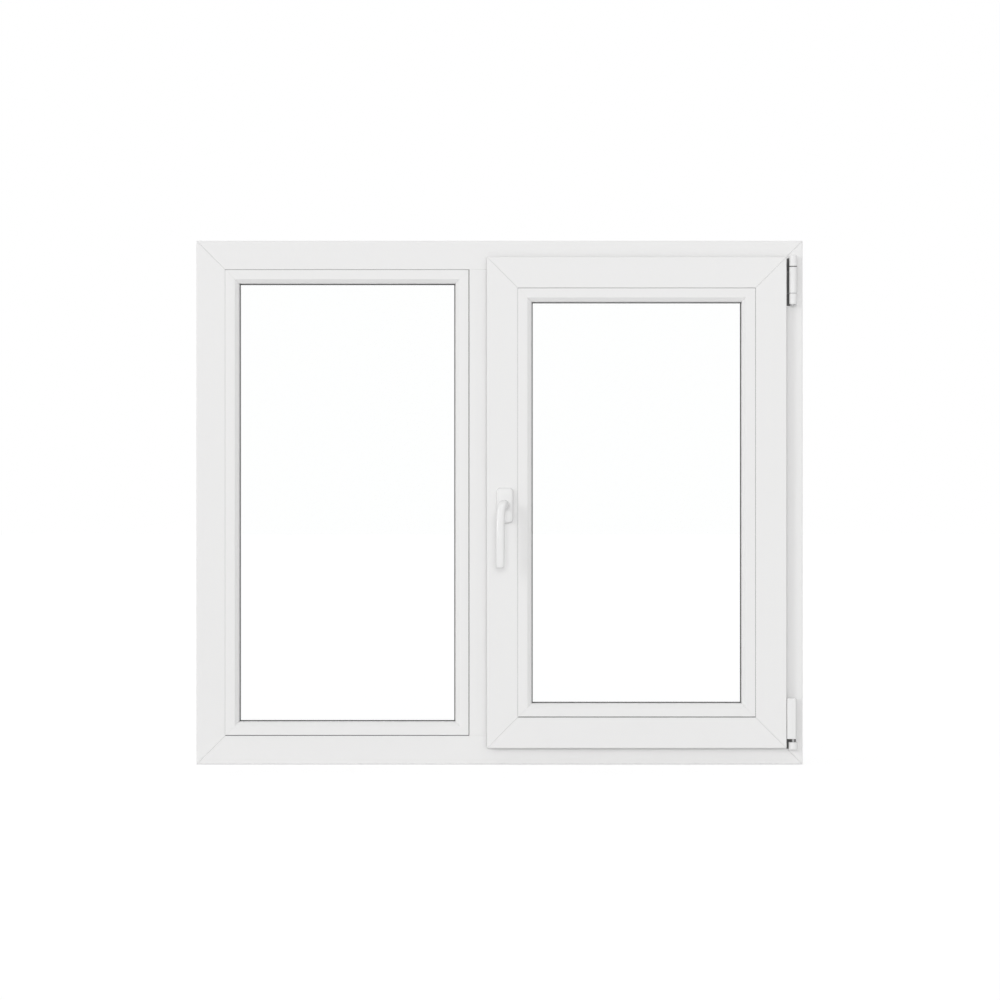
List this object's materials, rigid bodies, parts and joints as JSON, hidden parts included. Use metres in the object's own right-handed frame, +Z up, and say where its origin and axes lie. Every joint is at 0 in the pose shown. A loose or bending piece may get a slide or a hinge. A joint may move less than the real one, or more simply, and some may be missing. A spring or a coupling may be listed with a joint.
{
  "type": "tilt and turn window",
  "caption": "White plastic window with a fixed light beside an inward-opening sash that tilts at the top or turns on side hinges, worked by one lever handle.",
  "frame": {"origin": "on the underside of the sill, at mid width and mid depth of the outer frame", "axes": "+X to the right seen from the room, +Y from the room to the outside, +Z up"},
  "size_m": [1.1, 0.146, 0.95],
  "materials": {
    "white_plastic": "smooth, satin white",
    "seal_rubber": "matt black",
    "clear_glass": "clear float glass",
    "spacer_metal": "mill finish",
    "white_hardware": "powder coated white",
    "plated_steel": "zinc plated"
  },
  "bodies": {
    "frame": {"frame_sill": "white_plastic", "frame_head": "white_plastic", "frame_left_jamb": "white_plastic", "frame_right_jamb": "white_plastic", "mullion": "white_plastic", "fixed_bead_bottom": "white_plastic", "fixed_bead_right": "white_plastic", "fixed_bead_top": "white_plastic", "fixed_bead_left": "white_plastic", "fixed_inner_pane": "clear_glass", "fixed_spacer": "spacer_metal", "fixed_outer_pane": "clear_glass", "fixed_inner_seal": "seal_rubber", "fixed_outer_seal": "seal_rubber", "sash_stop_seal": "seal_rubber", "top_hinge_bracket": "white_hardware", "bottom_hinge_bearing": "white_hardware", "lock_keeps": "plated_steel", "drain_caps": "white_plastic"},
    "hinge_pivot": {"top_hinge_pin": "plated_steel", "bottom_hinge_cup": "plated_steel"},
    "sash": {"sash_bottom_rail": "white_plastic", "sash_top_rail": "white_plastic", "sash_lock_stile": "white_plastic", "sash_hinge_stile": "white_plastic", "sash_bead_bottom": "white_plastic", "sash_bead_right": "white_plastic", "sash_bead_top": "white_plastic", "sash_bead_left": "white_plastic", "sash_inner_pane": "clear_glass", "sash_spacer": "spacer_metal", "sash_outer_pane": "clear_glass", "sash_inner_seal": "seal_rubber", "sash_outer_seal": "seal_rubber", "sash_overlap_seal": "seal_rubber", "sash_faceplates": "plated_steel", "sash_hinge_knuckle": "white_hardware", "handle_rosette": "white_hardware"},
    "stay_arm": {"stay_arm": "plated_steel"},
    "handle": {"handle_lever": "white_hardware"},
    "locking_rail": {"locking_rail": "plated_steel"}
  },
  "joints": [
    {"name": "sash_turn", "type": "hinge", "parent": "frame", "child": "hinge_pivot", "pos_m": [0.532, -0.048, 0.475], "axis": [0, 0, 1], "range_deg": [0, 90]},
    {"name": "sash_tilt", "type": "hinge", "parent": "hinge_pivot", "child": "sash", "pos_m": [0.532, -0.048, 0.0345], "axis": [-1, 0, 0], "range_deg": [-8, 0]},
    {"name": "stay_swing", "type": "hinge", "parent": "hinge_pivot", "child": "stay_arm", "pos_m": [0.532, -0.048, 0.879], "axis": [0, 0, 1], "range_deg": [0, 17.2]},
    {"name": "handle_turn", "type": "hinge", "parent": "sash", "child": "handle", "pos_m": [0.0095, -0.064, 0.47], "axis": [0, 1, 0], "range_deg": [-180, 0]},
    {"name": "rail_slide", "type": "slide", "parent": "sash", "child": "locking_rail", "axis": [0, 0, 1], "range_m": [0, 0.0361]}
  ],
  "couplings": [
    {"joint": "stay_swing", "follows": "sash_tilt", "ratio": -2.135},
    {"joint": "rail_slide", "follows": "handle_turn", "m_per_rad": -0.011459}
  ]
}
